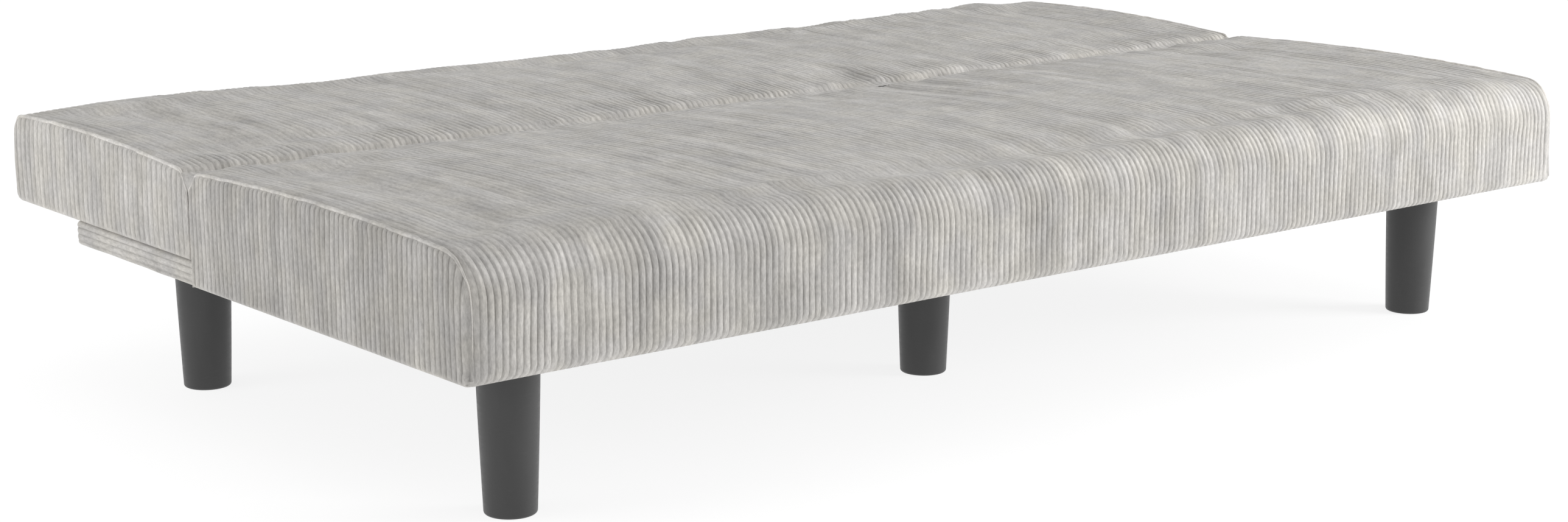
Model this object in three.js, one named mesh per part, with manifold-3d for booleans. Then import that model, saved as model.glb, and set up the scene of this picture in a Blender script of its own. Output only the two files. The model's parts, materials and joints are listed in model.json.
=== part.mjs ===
// Click-clack sofa bed, lying flat. An upholstered seat stands on a timber base with five tapered legs.
// A back cushion turns along the seat's rear edge on two toothed hinges, each with a pawl for the teeth.
// Millimetres. +X runs along the bed to the right, +Y to the rear and +Z up. The origin is on the floor
// under the middle of the bed. Hinge parts are drawn for the right end and mirrored for the left.

import * as THREE from "three";
import { mergeVertices } from "three/addons/utils/BufferGeometryUtils.js";
import Module from "manifold-3d";

const wasm = await Module();
wasm.setup();

// Overall size
const LENGTH = 1800;
const DEPTH = 1080;
const HALF = LENGTH / 2;
const FRONT_Y = -DEPTH / 2;
const REAR_Y = DEPTH / 2;
const BASE_REAR_Y = 366;

// Heights, from the floor up
const UNDERSIDE_Z = 190.6;
const RAIL_Z = [191.8, 215.6];
const BOARD_Z = [215.9, 227.9];
const LEDGE_TOP_Z = 221;
const BACK_UNDERSIDE_Z = 221.4;
const BACK_RAIL_Z = [223.7, 247.7];
const BACK_SLAT_Z = [248, 260];
const END_BOARD_TOP_Z = 290;

// Clearances and sheet thicknesses
const GAP = 0.3;
const BORE_GAP = 0.4;
const COVER = 2;
const DUST_COVER = 0.8;
const LEDGE_COVER = 1.8;
const LEDGE_PANEL = 3;
const BACK_PANEL_Z = [221.6, 223.2];

// Heights that cuts start and stop at, clear of what they cut
const CUT_BOTTOM_Z = 150;
const CUT_RAIL_BOTTOM_Z = 180;
const CUT_BOARD_BOTTOM_Z = 200;
const CUT_RAIL_TOP_Z = 230;
const CUT_TOP_Z = 400;

// Crease: the cushions meet above the hinge line in a notch wide enough for the back to rise into
const HINGE_Y = 60;
const HINGE_Z = 309;
const CREASE_GAP = 1.5;
const CREASE_ANGLE = THREE.MathUtils.degToRad(41);
const LIP_RISE = 21;
const LIP_RADIUS = 8;
const CREASE_CORNER = 6;

// Cushions: distances run from the hinge plane, forward for the seat and to the rear for the back
const SEAT = {
  direction: -1,
  bottom: UNDERSIDE_Z,
  far: HINGE_Y - FRONT_Y,
  crest: 300,
  crestZ: 339,
  bottomRadius: 22,
  topRadius: 56,
};
const BACK = {
  direction: 1,
  bottom: BACK_UNDERSIDE_Z,
  far: REAR_Y - HINGE_Y,
  crest: 290,
  crestZ: 341,
  bottomRadius: 20,
  topRadius: 32,
};
const CORNER_RADIUS = 22;
const CROWN_STEPS = 9;

// Legs
const LEG_X = 761;
const LEG_FRONT_Y = -404;
const LEG_REAR_Y = 293;
const LEG_CENTRE_Y = -228;
const LEG_FOOT_RADIUS = 30;
const LEG_TOP_RADIUS = 36.4;
const LEG_FOOT_CHAMFER = 2;
const LEG_TOP_Z = RAIL_Z[0] - GAP;
const LEG_SIDES = 28;
const LEG_HOLE_RADIUS = 38;
const BOLT_RADIUS = 4;
const BOLT_TOP_Z = 213.5;
const BOLT_DEPTH = 35;
const BOLT_TIP_RADIUS = 1.5;
const BOLT_TIP_LENGTH = 5;
const NUT_BARREL_RADIUS = 5.5;
const NUT_FLANGE_RADIUS = 10;
const NUT_BOTTOM_Z = 204;
const NUT_FLANGE_Z = [213.7, 215.2];
const FASTENER_SIDES = 16;
const LEGS = [
  ["front_left", -LEG_X, LEG_FRONT_Y],
  ["front_right", LEG_X, LEG_FRONT_Y],
  ["rear_left", -LEG_X, LEG_REAR_Y],
  ["rear_right", LEG_X, LEG_REAR_Y],
  ["centre", 0, LEG_CENTRE_Y],
];

// Base rails
const RAIL_END_X = 888;
const END_RAIL_X = 826;
const FRONT_RAIL_Y = [-536, -466];
const FRONT_RAIL_ROUND = 20;
const FRONT_RAIL_INSET = 4;
const MIDDLE_RAIL_Y = [-10, 58];
const REAR_RAIL_Y = [330, 363.7];
const REAR_RAIL_CORNER = 8;
const CENTRE_RAIL_WIDTH = 90;
const BLOCK_X = [701, END_RAIL_X - GAP];
const BLOCK_DEPTH = 98;
const SEAT_BOARDS_Y = [
  [-530, -345],
  [-335, -150],
  [-140, 56],
];
const SEAT_BOARD_X = 893;

// Seat cover, ledge and dust cover
const SEAT_HEM = 12;
const SEAT_HEM_TOP_Z = 197;
const LEDGE_X = 898;
const LEDGE_FRONT_Y = 62;
const LEDGE_CORNER = 9;
const LEDGE_PANEL_X = 895.5;
const LEDGE_PANEL_REAR_Y = 363.5;
const DUST_COVER_X = 887;
const DUST_COVER_Y = [-516, 358];
const BOARD_CORNER = 8;

// Back frame
const BACK_FRAME_Y = [84, 515];
const BACK_FRONT_RAIL_Y = [84, 144];
const BACK_REAR_RAIL_Y = [455, 515];
const BACK_SLAT_Y = [90, 510];
const BACK_SLAT_WIDTH = 140;
const BACK_SLAT_PITCH = 430;
const BACK_OPENING_X = 870;
const BACK_OPENING_Y = [80, 515];
const BACK_PANEL_INSET = 0.5;

// Hinge, in layers along X from the inside out
const STRAP_SEAT_X = [827.9, 830.7];
const HINGE_BLOCK_X = [831, 859.2];
const HINGE_BLOCK_Y = [2.3, 56];
const SEAT_PLATE_X = [859.5, 862.5];
const BACK_PLATE_X = [863.5, 866.5];
const STRAP_BACK_X = [860.4, 863.2];
const END_BOARD_X = [867, 888];
const PAWL_X = [863.5, 869.5];
const PIN_RADIUS = 5;
const PIN_HEAD_RADIUS = 8;
const PIN_HEADS_X = [
  [854.5, 859.2],
  [866.8, 870.8],
];
const EYE_RADIUS = 10;
const RUNNING_CLEARANCE = 0.1;
const STUD_RADIUS = 3;
const STUD_HOLE_RADIUS = 3.3;
const SEAT_STUDS = [
  [18, 228],
  [42, 228],
];
const BACK_STUDS = [
  [110, 263],
  [166, 263],
];
const SEAT_STUD_X = [830.5, 866];
const BACK_STUD_X = [863, 886];
const STUD_MARGIN = 6;
const BLOCK_BORE_X = [820, 870];
const PLATE_BORE_X = [855, 870];
const END_BOARD_BORE_X = [860, 900];
const PAWL_BORE_X = [860, 875];
const STRAP_HALF_HEIGHT = 5;
const BORE_SIDES = 12;
const PIN_SIDES = 32;

// Plate outlines, as circles [y, z, radius] with a string drawn round them
const SEAT_PLATE_CIRCLES = [
  [8, 222, 4],
  [52, 222, 4],
  [HINGE_Y, HINGE_Z, EYE_RADIUS],
  [16, 258, 7],
];
const BACK_ARM_CIRCLES = [
  [HINGE_Y, HINGE_Z, EYE_RADIUS],
  [92, 236, 4],
  [186, 236, 4],
  [186, 266, 4],
];

// Space that the foam and covers leave for the hinges
const BLOCK_SPACE_X = [824, 874];
const BLOCK_SPACE_Y = [2, HINGE_Y];
const BOARD_NOTCH_X = [824, 900];
const BOARD_SPACE_X = [855, 900];
const POCKET_X = [850, 874];
const POCKET_SEAT_Y = [40, HINGE_Y];
const POCKET_FOAM_Y = [HINGE_Y, 140];
const POCKET_COVER_Y = [HINGE_Y, 72];
const POCKET_COVER_BOTTOM_Z = 223.5;
const POCKET_TOP_Z = 321;

// Ratchet
const TOOTH_PITCH = 16;
const TOOTH_GAPS = 6;
const FIRST_GAP = 261;
const SECTOR_RADIUS = 45;
const SECTOR_ROOT = 40.5;
const SECTOR_MARGIN = 8;
const GAP_MOUTH = 5.2;
const GAP_FLOOR = 3.6;
const PAWL_PIVOT = [16, 258];
const PAWL_PIVOT_RADIUS = 3;
const PAWL_STUB_X = [862, 869.8];
const PAWL_CIRCLES = [
  [...PAWL_PIVOT, 6],
  [54, 257.4, 2.6],
];
const PAWL_TOOTH = [
  [51.2, 257],
  [56.8, 257],
  [55.6, 262.4],
  [52.4, 262.4],
];
const SPRING_TAB_X = [862.2, 871];
const SPRING_TAB_HALF_WIDTH = 5;
const SPRING_TAB_THICKNESS = 2.5;
const SPRING_X = 867;
const SPRING_Y = 34;
const SPRING_Z = [238.8, 252.8];
const SPRING_RADIUS = 3;
const SPRING_WIRE = 0.6;
const SPRING_TURNS = 5;

// Materials
const plain = (color, roughness, metalness) =>
  new THREE.MeshStandardMaterial({ color, roughness, metalness });
const CORD_FABRIC = plain(0xbcb8b2, 0.95, 0);
const LINING = plain(0x3a3a3c, 0.95, 0);
const FOAM = plain(0xe8dfc2, 0.95, 0);
const TIMBER = plain(0xcba677, 0.7, 0);
const PLYWOOD = plain(0xd3b788, 0.65, 0);
const STEEL = plain(0xa9adb1, 0.4, 0.9);
const LEG_PLASTIC = plain(0x3c3d40, 0.5, 0);

// ---- Outlines -----------------------------------------------------------------------------------

// Corners [a, b, radius], counter-clockwise, with each corner that has a radius turned into an arc.
function filleted(corners) {
  const points = [];
  corners.forEach(([a, b, radius], i) => {
    const corner = new THREE.Vector2(a, b);
    if (!radius) {
      points.push(corner);
      return;
    }
    const before = corners[(i + corners.length - 1) % corners.length];
    const after = corners[(i + 1) % corners.length];
    const back = new THREE.Vector2(before[0], before[1]).sub(corner).normalize();
    const ahead = new THREE.Vector2(after[0], after[1]).sub(corner).normalize();
    const halfAngle = Math.acos(THREE.MathUtils.clamp(back.dot(ahead), -1, 1)) / 2;
    const bisector = back.clone().add(ahead).normalize();
    const centre = corner.clone().addScaledVector(bisector, radius / Math.sin(halfAngle));
    const start = corner.clone().addScaledVector(back, radius / Math.tan(halfAngle)).sub(centre);
    const turn = Math.PI - 2 * halfAngle;
    const sign = Math.sign(ahead.cross(back));
    const steps = Math.max(2, Math.round(turn / THREE.MathUtils.degToRad(13)));
    for (let k = 0; k <= steps; k++) {
      const arm = start.clone().rotateAround(new THREE.Vector2(), (sign * turn * k) / steps);
      points.push(arm.add(centre));
    }
  });
  return points;
}

// The outline moved inwards by a distance.
function shrunk(points, distance) {
  return points.map((point, i) => {
    const before = points[(i + points.length - 1) % points.length];
    const after = points[(i + 1) % points.length];
    const edgeIn = point.clone().sub(before).normalize();
    const edgeOut = after.clone().sub(point).normalize();
    const normal = new THREE.Vector2(-edgeIn.y - edgeOut.y, edgeIn.x + edgeOut.x);
    return point.clone().addScaledVector(normal, distance / (1 + edgeIn.dot(edgeOut)));
  });
}

// The convex outline that a string drawn round circles [a, b, radius] would take.
function stringRound(circles) {
  const cloud = [];
  for (const [a, b, radius] of circles) {
    for (let k = 0; k < 24; k++) {
      const angle = (k * Math.PI) / 12;
      cloud.push(new THREE.Vector2(a + radius * Math.cos(angle), b + radius * Math.sin(angle)));
    }
  }
  cloud.sort((p, q) => p.x - q.x || p.y - q.y);
  const half = (list) => {
    const chain = [];
    for (const point of list) {
      while (chain.length > 1) {
        const last = chain[chain.length - 1].clone().sub(chain[chain.length - 2]);
        if (last.cross(point.clone().sub(chain[chain.length - 1])) > 1e-6) break;
        chain.pop();
      }
      chain.push(point);
    }
    return chain.slice(0, -1);
  };
  return [...half(cloud), ...half(cloud.slice().reverse())];
}

// A cushion's cross-section: a flat bottom, a crowned top, and a sloping face above the hinge line.
function cushionOutline({ direction, bottom, far, crest, crestZ, bottomRadius, topRadius }) {
  const lip = CREASE_GAP + LIP_RISE * Math.tan(CREASE_ANGLE);
  const lipZ = HINGE_Z + LIP_RISE;
  const crown = (d) => crestZ - (crestZ - lipZ) * ((d - crest) / (crest - lip)) ** 2;
  const corners = [
    [CREASE_GAP, bottom, 0],
    [far, bottom, bottomRadius],
    [far, crown(far), topRadius],
  ];
  const crownEnd = far - 1.3 * topRadius;
  for (let i = 0; i < CROWN_STEPS; i++) {
    const d = THREE.MathUtils.lerp(crownEnd, lip, i / CROWN_STEPS);
    corners.push([d, crown(d), 0]);
  }
  corners.push([lip, lipZ, LIP_RADIUS]);
  corners.push([CREASE_GAP, HINGE_Z, 0]);
  const placed = corners.map(([d, z, radius]) => [HINGE_Y + direction * d, z, radius]);
  return filleted(direction > 0 ? placed : placed.reverse());
}

function rectangle(x0, x1, y0, y1, frontRadius = 0, rearRadius = 0) {
  return filleted([
    [x0, y0, frontRadius],
    [x1, y0, frontRadius],
    [x1, y1, rearRadius],
    [x0, y1, rearRadius],
  ]);
}

// ---- Shapes -------------------------------------------------------------------------------------

// An outline in the XY plane, drawn out from one height to another.
function alongZ(points, from, to) {
  const shape = new THREE.Shape(points);
  const geometry = new THREE.ExtrudeGeometry(shape, { depth: to - from, bevelEnabled: false });
  return geometry.translate(0, 0, from);
}

// An outline in the YZ plane, drawn out along X.
function alongX(points, from, to) {
  const turn = new THREE.Matrix4().makeBasis(
    new THREE.Vector3(0, 1, 0),
    new THREE.Vector3(0, 0, 1),
    new THREE.Vector3(1, 0, 0),
  );
  return alongZ(points, from, to).applyMatrix4(turn);
}

function box([x0, x1], [y0, y1], [z0, z1]) {
  const geometry = new THREE.BoxGeometry(x1 - x0, y1 - y0, z1 - z0);
  return geometry.translate((x0 + x1) / 2, (y0 + y1) / 2, (z0 + z1) / 2);
}

// A round bar along X, centred on [y, z].
function bar([y, z], radius, [x0, x1], sides = 18) {
  const geometry = new THREE.CylinderGeometry(radius, radius, x1 - x0, sides);
  return geometry.rotateZ(Math.PI / 2).translate((x0 + x1) / 2, y, z);
}

// A shape turned about a vertical axis: its profile is [radius, height], from the bottom up.
function turned(profile, sides) {
  const points = profile.map(([radius, height]) => new THREE.Vector2(radius, height));
  return new THREE.LatheGeometry(points, sides).rotateX(Math.PI / 2);
}

function solid(shape) {
  if (shape instanceof wasm.Manifold) return shape;
  const bare = new THREE.BufferGeometry();
  bare.setAttribute("position", shape.getAttribute("position"));
  bare.setIndex(shape.index);
  const merged = mergeVertices(bare, 1e-3);
  const vertProperties = new Float32Array(merged.getAttribute("position").array);
  const triVerts = new Uint32Array(merged.index.array);
  return new wasm.Manifold(new wasm.Mesh({ numProp: 3, vertProperties, triVerts }));
}

const cut = (shape, ...tools) => tools.reduce((left, tool) => left.subtract(solid(tool)), solid(shape));
const joined = (...shapes) => shapes.reduce((left, shape) => left.add(solid(shape)), solid(shapes.shift()));
const common = (a, b) => solid(a).intersect(solid(b));

function piece(name, shape, material) {
  let geometry = shape;
  if (shape instanceof wasm.Manifold) {
    const { vertProperties, triVerts } = shape.getMesh();
    geometry = new THREE.BufferGeometry();
    geometry.setAttribute("position", new THREE.BufferAttribute(vertProperties, 3));
    geometry.setIndex(new THREE.BufferAttribute(triVerts, 1));
    geometry.computeVertexNormals();
  }
  const mesh = new THREE.Mesh(geometry, material);
  mesh.name = name;
  return mesh;
}

function group(...children) {
  const holder = new THREE.Group();
  holder.add(...children);
  return holder;
}

// ---- Legs and their fasteners -------------------------------------------------------------------

function leg() {
  const profile = [
    [0, 0],
    [LEG_FOOT_RADIUS - LEG_FOOT_CHAMFER, 0],
    [LEG_FOOT_RADIUS, LEG_FOOT_CHAMFER],
    [LEG_TOP_RADIUS, LEG_TOP_Z],
    [BOLT_RADIUS + BORE_GAP, LEG_TOP_Z],
    [BOLT_RADIUS + BORE_GAP, LEG_TOP_Z - BOLT_DEPTH],
    [0, LEG_TOP_Z - BOLT_DEPTH],
  ];
  return turned(profile, LEG_SIDES);
}

function legBolt() {
  const bottom = LEG_TOP_Z - BOLT_DEPTH + 1;
  const profile = [
    [0, bottom],
    [BOLT_TIP_RADIUS, bottom],
    [BOLT_RADIUS, bottom + BOLT_TIP_LENGTH],
    [BOLT_RADIUS, BOLT_TOP_Z],
    [0, BOLT_TOP_Z],
  ];
  return turned(profile, FASTENER_SIDES);
}

function teeNut() {
  const bore = BOLT_RADIUS + GAP;
  const profile = [
    [bore, NUT_BOTTOM_Z],
    [NUT_BARREL_RADIUS, NUT_BOTTOM_Z],
    [NUT_BARREL_RADIUS, NUT_FLANGE_Z[0]],
    [NUT_FLANGE_RADIUS, NUT_FLANGE_Z[0]],
    [NUT_FLANGE_RADIUS, NUT_FLANGE_Z[1]],
    [bore, NUT_FLANGE_Z[1]],
    [bore, NUT_BOTTOM_Z],
  ];
  return turned(profile, FASTENER_SIDES);
}

// The stepped hole that a leg bolt and its tee nut take in the timber.
function boltPassage(x, y) {
  const profile = [
    [0, CUT_RAIL_BOTTOM_Z],
    [BOLT_RADIUS + BORE_GAP, CUT_RAIL_BOTTOM_Z],
    [BOLT_RADIUS + BORE_GAP, NUT_BOTTOM_Z - GAP],
    [NUT_BARREL_RADIUS + GAP, NUT_BOTTOM_Z - GAP],
    [NUT_BARREL_RADIUS + GAP, NUT_FLANGE_Z[0] - GAP],
    [NUT_FLANGE_RADIUS + BORE_GAP, NUT_FLANGE_Z[0] - GAP],
    [NUT_FLANGE_RADIUS + BORE_GAP, CUT_RAIL_TOP_Z],
    [0, CUT_RAIL_TOP_Z],
  ];
  return turned(profile, FASTENER_SIDES).translate(x, y, 0);
}

function legs() {
  return LEGS.map(([place, x, y]) => {
    const set = group(
      piece(`leg_${place}`, leg(), LEG_PLASTIC),
      piece(`leg_bolt_${place}`, legBolt(), STEEL),
      piece(`tee_nut_${place}`, teeNut(), STEEL),
    );
    set.position.set(x, y, 0);
    return set;
  });
}

// ---- Base frame ---------------------------------------------------------------------------------

const seatPlan = () =>
  rectangle(-HALF, HALF, FRONT_Y, HINGE_Y - CREASE_GAP, CORNER_RADIUS, CREASE_CORNER);
const backPlan = () =>
  rectangle(-HALF, HALF, HINGE_Y + CREASE_GAP, REAR_Y, CREASE_CORNER, CORNER_RADIUS);

function frontRail() {
  const [front, rear] = FRONT_RAIL_Y;
  const [low, high] = RAIL_Z;
  const section = filleted([
    [front, low, FRONT_RAIL_ROUND],
    [rear, low, 0],
    [rear, high, 0],
    [front, high, 0],
  ]);
  const plan = shrunk(seatPlan(), FRONT_RAIL_INSET);
  return common(
    alongX(section, -RAIL_END_X, RAIL_END_X),
    alongZ(plan, CUT_RAIL_BOTTOM_Z, CUT_RAIL_TOP_Z),
  );
}

function rearRail() {
  const plan = rectangle(-RAIL_END_X, RAIL_END_X, ...REAR_RAIL_Y, 0, REAR_RAIL_CORNER);
  return alongZ(plan, RAIL_Z[0], RAIL_Z[1]);
}

// The four blocks that brace the frame's corners and carry the outer legs, each inside its end rail.
function cornerBlock(place, x, y) {
  const inFront = y < 0;
  const blockY = inFront
    ? [FRONT_RAIL_Y[1] + GAP, FRONT_RAIL_Y[1] + GAP + BLOCK_DEPTH]
    : [REAR_RAIL_Y[0] - GAP - BLOCK_DEPTH, REAR_RAIL_Y[0] - GAP];
  const blockX = x < 0 ? [-BLOCK_X[1], -BLOCK_X[0]] : BLOCK_X;
  return piece(`corner_block_${place}`, cut(box(blockX, blockY, RAIL_Z), boltPassage(x, y)), TIMBER);
}

function baseFrame() {
  const halfCentre = [-CENTRE_RAIL_WIDTH / 2, CENTRE_RAIL_WIDTH / 2];
  const betweenRails = [FRONT_RAIL_Y[1] + GAP, REAR_RAIL_Y[0] - GAP];
  const middleX = [-END_RAIL_X + GAP, END_RAIL_X - GAP];
  const centreFront = box(halfCentre, [betweenRails[0], MIDDLE_RAIL_Y[0] - GAP], RAIL_Z);
  const centreRear = box(halfCentre, [MIDDLE_RAIL_Y[1] + GAP, betweenRails[1]], RAIL_Z);
  const blocks = LEGS.filter(([, x]) => x !== 0).map(([place, x, y]) => cornerBlock(place, x, y));
  return group(
    piece("base_front_rail", frontRail(), TIMBER),
    piece("base_rear_rail", rearRail(), TIMBER),
    piece("base_middle_rail", box(middleX, MIDDLE_RAIL_Y, RAIL_Z), TIMBER),
    piece("base_end_rail_left", box([-RAIL_END_X, -END_RAIL_X], betweenRails, RAIL_Z), TIMBER),
    piece("base_end_rail_right", box([END_RAIL_X, RAIL_END_X], betweenRails, RAIL_Z), TIMBER),
    piece("base_centre_rail_front", cut(centreFront, boltPassage(0, LEG_CENTRE_Y)), TIMBER),
    piece("base_centre_rail_rear", centreRear, TIMBER),
    ...blocks,
  );
}

// ---- Seat and ledge -----------------------------------------------------------------------------

// The last board stops short of the hinge blocks at both ends.
function seatBoards() {
  return SEAT_BOARDS_Y.map((boardY, i) => {
    const board = box([-SEAT_BOARD_X, SEAT_BOARD_X], boardY, BOARD_Z);
    const notches = bothEnds(BOARD_NOTCH_X, [0, HINGE_Y], [CUT_BOARD_BOTTOM_Z, CUT_TOP_Z]);
    const last = i === SEAT_BOARDS_Y.length - 1;
    return piece(`seat_board_${i + 1}`, last ? cut(board, ...notches) : board, PLYWOOD);
  });
}

// A cushion's body: its cross-section run along the bed and trimmed to its plan, set in by a distance.
function cushionBody(cushion, plan, inset) {
  const section = alongX(shrunk(cushionOutline(cushion), inset), -HALF, HALF);
  return common(section, alongZ(shrunk(plan, inset), CUT_BOTTOM_Z, CUT_TOP_Z));
}

// The same space at both ends, for what the hinges need.
function bothEnds([x0, x1], y, z) {
  return [box([x0, x1], y, z), box([-x1, -x0], y, z)];
}

function seatFoam() {
  const body = cushionBody(SEAT, seatPlan(), COVER + GAP);
  const belowBoards = box([-HALF, HALF], [FRONT_Y, HINGE_Y], [CUT_BOTTOM_Z, BOARD_Z[1] + GAP]);
  const roundHinges = bothEnds(BLOCK_SPACE_X, BLOCK_SPACE_Y, [CUT_BOARD_BOTTOM_Z, POCKET_TOP_Z]);
  return cut(body, belowBoards, ...roundHinges);
}

// An open-bottomed skin with a hem that curls under the front edge. Behind, it ends on the ledge.
function seatCover() {
  const shell = cut(cushionBody(SEAT, seatPlan(), 0), cushionBody(SEAT, seatPlan(), COVER));
  const inside = HALF - COVER;
  const frontY = FRONT_Y + SEAT_HEM;
  const opening = box([-inside, inside], [frontY, HINGE_Y], [CUT_BOTTOM_Z, SEAT_HEM_TOP_Z]);
  const behindZ = [CUT_BOTTOM_Z, BACK_UNDERSIDE_Z];
  const overLedge = box([-inside, inside], [MIDDLE_RAIL_Y[0], HINGE_Y], behindZ);
  const roundHinges = bothEnds(POCKET_X, POCKET_SEAT_Y, [CUT_BOARD_BOTTOM_Z, POCKET_TOP_Z]);
  return cut(shell, opening, overLedge, ...roundHinges);
}

function ledgeCover() {
  const plan = rectangle(-LEDGE_X, LEDGE_X, LEDGE_FRONT_Y, BASE_REAR_Y, 0, LEDGE_CORNER);
  const insideX = LEDGE_X - LEDGE_COVER;
  const insideRearY = BASE_REAR_Y - LEDGE_COVER;
  const insideCorner = LEDGE_CORNER - LEDGE_COVER;
  const room = rectangle(-insideX, insideX, MIDDLE_RAIL_Y[0], insideRearY, 0, insideCorner);
  return cut(
    alongZ(plan, UNDERSIDE_Z, LEDGE_TOP_Z),
    alongZ(room, CUT_BOTTOM_Z, LEDGE_TOP_Z - LEDGE_COVER),
  );
}

// The lining under the base, with a hole for each leg.
function dustCover() {
  const plan = rectangle(-DUST_COVER_X, DUST_COVER_X, ...DUST_COVER_Y, 0, BOARD_CORNER);
  const shape = new THREE.Shape(plan);
  for (const [, x, y] of LEGS) {
    const hole = new THREE.Path().absarc(x, y, LEG_HOLE_RADIUS, 0, 2 * Math.PI);
    shape.holes.push(hole);
  }
  const settings = { depth: DUST_COVER, bevelEnabled: false, curveSegments: 10 };
  return new THREE.ExtrudeGeometry(shape, settings).translate(0, 0, UNDERSIDE_Z);
}

function seat() {
  const ledgeY = [LEDGE_FRONT_Y, LEDGE_PANEL_REAR_Y];
  const ledgePlan = rectangle(-LEDGE_PANEL_X, LEDGE_PANEL_X, ...ledgeY, 0, BOARD_CORNER);
  const ledgeBoard = alongZ(ledgePlan, BOARD_Z[0], BOARD_Z[0] + LEDGE_PANEL);
  return group(
    ...seatBoards(),
    piece("seat_foam", seatFoam(), FOAM),
    piece("seat_cover", seatCover(), CORD_FABRIC),
    piece("ledge_panel", ledgeBoard, PLYWOOD),
    piece("ledge_cover", ledgeCover(), CORD_FABRIC),
    piece("dust_cover", dustCover(), LINING),
  );
}

// ---- Back cushion -------------------------------------------------------------------------------

function backFoam() {
  const body = cushionBody(BACK, backPlan(), COVER + GAP);
  const frameY = [BACK_FRAME_Y[0] - GAP, BACK_FRAME_Y[1] + GAP];
  const overFrame = box([-HALF, HALF], frameY, [CUT_BOARD_BOTTOM_Z, BACK_SLAT_Z[1] + GAP]);
  const atEnds = bothEnds(BOARD_SPACE_X, frameY, [CUT_BOARD_BOTTOM_Z, END_BOARD_TOP_Z + GAP]);
  const roundHinges = bothEnds(POCKET_X, POCKET_FOAM_Y, [CUT_BOARD_BOTTOM_Z, POCKET_TOP_Z]);
  return cut(body, overFrame, ...atEnds, ...roundHinges);
}

// A skin turned under by a hem all round, with the panel's opening inside the hem.
function backCover() {
  const shell = cut(cushionBody(BACK, backPlan(), 0), cushionBody(BACK, backPlan(), COVER));
  const openingZ = [CUT_BOARD_BOTTOM_Z, BACK_UNDERSIDE_Z + COVER + GAP];
  const opening = box([-BACK_OPENING_X, BACK_OPENING_X], BACK_OPENING_Y, openingZ);
  const roundHinges = bothEnds(POCKET_X, POCKET_COVER_Y, [POCKET_COVER_BOTTOM_Z, POCKET_TOP_Z]);
  return cut(shell, opening, ...roundHinges);
}

function backEndBoard() {
  const board = box(END_BOARD_X, BACK_FRAME_Y, [BACK_RAIL_Z[0], END_BOARD_TOP_Z]);
  const holes = BACK_STUDS.map((centre) => bar(centre, STUD_HOLE_RADIUS, END_BOARD_BORE_X, BORE_SIDES));
  return cut(board, ...holes);
}

function backSlats() {
  return ["left", "centre", "right"].map((place, i) => {
    const middle = (i - 1) * BACK_SLAT_PITCH;
    const slatX = [middle - BACK_SLAT_WIDTH / 2, middle + BACK_SLAT_WIDTH / 2];
    return piece(`back_slat_${place}`, box(slatX, BACK_SLAT_Y, BACK_SLAT_Z), PLYWOOD);
  });
}

function back() {
  const panelX = BACK_OPENING_X - BACK_PANEL_INSET;
  const panelY = [BACK_OPENING_Y[0] + BACK_PANEL_INSET, BACK_OPENING_Y[1] - BACK_PANEL_INSET];
  const frontRailX = BACK_PLATE_X[0] - GAP;
  const rearRailX = END_BOARD_X[0] - GAP;
  return group(
    piece("back_front_rail", box([-frontRailX, frontRailX], BACK_FRONT_RAIL_Y, BACK_RAIL_Z), TIMBER),
    piece("back_rear_rail", box([-rearRailX, rearRailX], BACK_REAR_RAIL_Y, BACK_RAIL_Z), TIMBER),
    ...backSlats(),
    piece("back_foam", backFoam(), FOAM),
    piece("back_cover", backCover(), CORD_FABRIC),
    piece("back_panel", box([-panelX, panelX], panelY, BACK_PANEL_Z), LINING),
  );
}

// ---- Hinges -------------------------------------------------------------------------------------

const hingeCentre = [HINGE_Y, HINGE_Z];

function hingeBlock() {
  const block = box(HINGE_BLOCK_X, HINGE_BLOCK_Y, [BOARD_Z[0], END_BOARD_TOP_Z]);
  const holes = SEAT_STUDS.map((centre) => bar(centre, STUD_HOLE_RADIUS, BLOCK_BORE_X, BORE_SIDES));
  return cut(block, ...holes);
}

// The plate fixed to the seat: its eye carries the hinge pin, its stub the pawl and its tab the spring.
function seatPlate() {
  const tabY = [SPRING_Y - SPRING_TAB_HALF_WIDTH, SPRING_Y + SPRING_TAB_HALF_WIDTH];
  const tabTop = SPRING_Z[0] - GAP;
  const tab = box(SPRING_TAB_X, tabY, [tabTop - SPRING_TAB_THICKNESS, tabTop]);
  const stub = bar(PAWL_PIVOT, PAWL_PIVOT_RADIUS, PAWL_STUB_X);
  const holes = SEAT_STUDS.map((centre) => bar(centre, STUD_HOLE_RADIUS, PLATE_BORE_X, BORE_SIDES));
  const eye = bar(hingeCentre, PIN_RADIUS + RUNNING_CLEARANCE, PLATE_BORE_X, PIN_SIDES);
  const plate = alongX(stringRound(SEAT_PLATE_CIRCLES), ...SEAT_PLATE_X);
  return cut(joined(plate, tab, stub), eye, ...holes);
}

// The toothed rim below the back's hinge eye, from the eye's front round to underneath it.
function toothedSector() {
  const rim = (degrees, radius) => {
    const angle = THREE.MathUtils.degToRad(degrees);
    return new THREE.Vector2(HINGE_Y + radius * Math.cos(angle), HINGE_Z + radius * Math.sin(angle));
  };
  const lastGap = FIRST_GAP - (TOOTH_GAPS - 1) * TOOTH_PITCH;
  const points = [rim(0, 0), rim(lastGap - SECTOR_MARGIN, SECTOR_RADIUS)];
  for (let i = TOOTH_GAPS - 1; i >= 0; i--) {
    const gap = FIRST_GAP - i * TOOTH_PITCH;
    points.push(rim(gap - GAP_MOUTH, SECTOR_RADIUS));
    points.push(rim(gap - GAP_FLOOR, SECTOR_ROOT));
    points.push(rim(gap + GAP_FLOOR, SECTOR_ROOT));
    points.push(rim(gap + GAP_MOUTH, SECTOR_RADIUS));
  }
  points.push(rim(FIRST_GAP + SECTOR_MARGIN, SECTOR_RADIUS));
  return alongX(points, ...BACK_PLATE_X);
}

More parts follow.
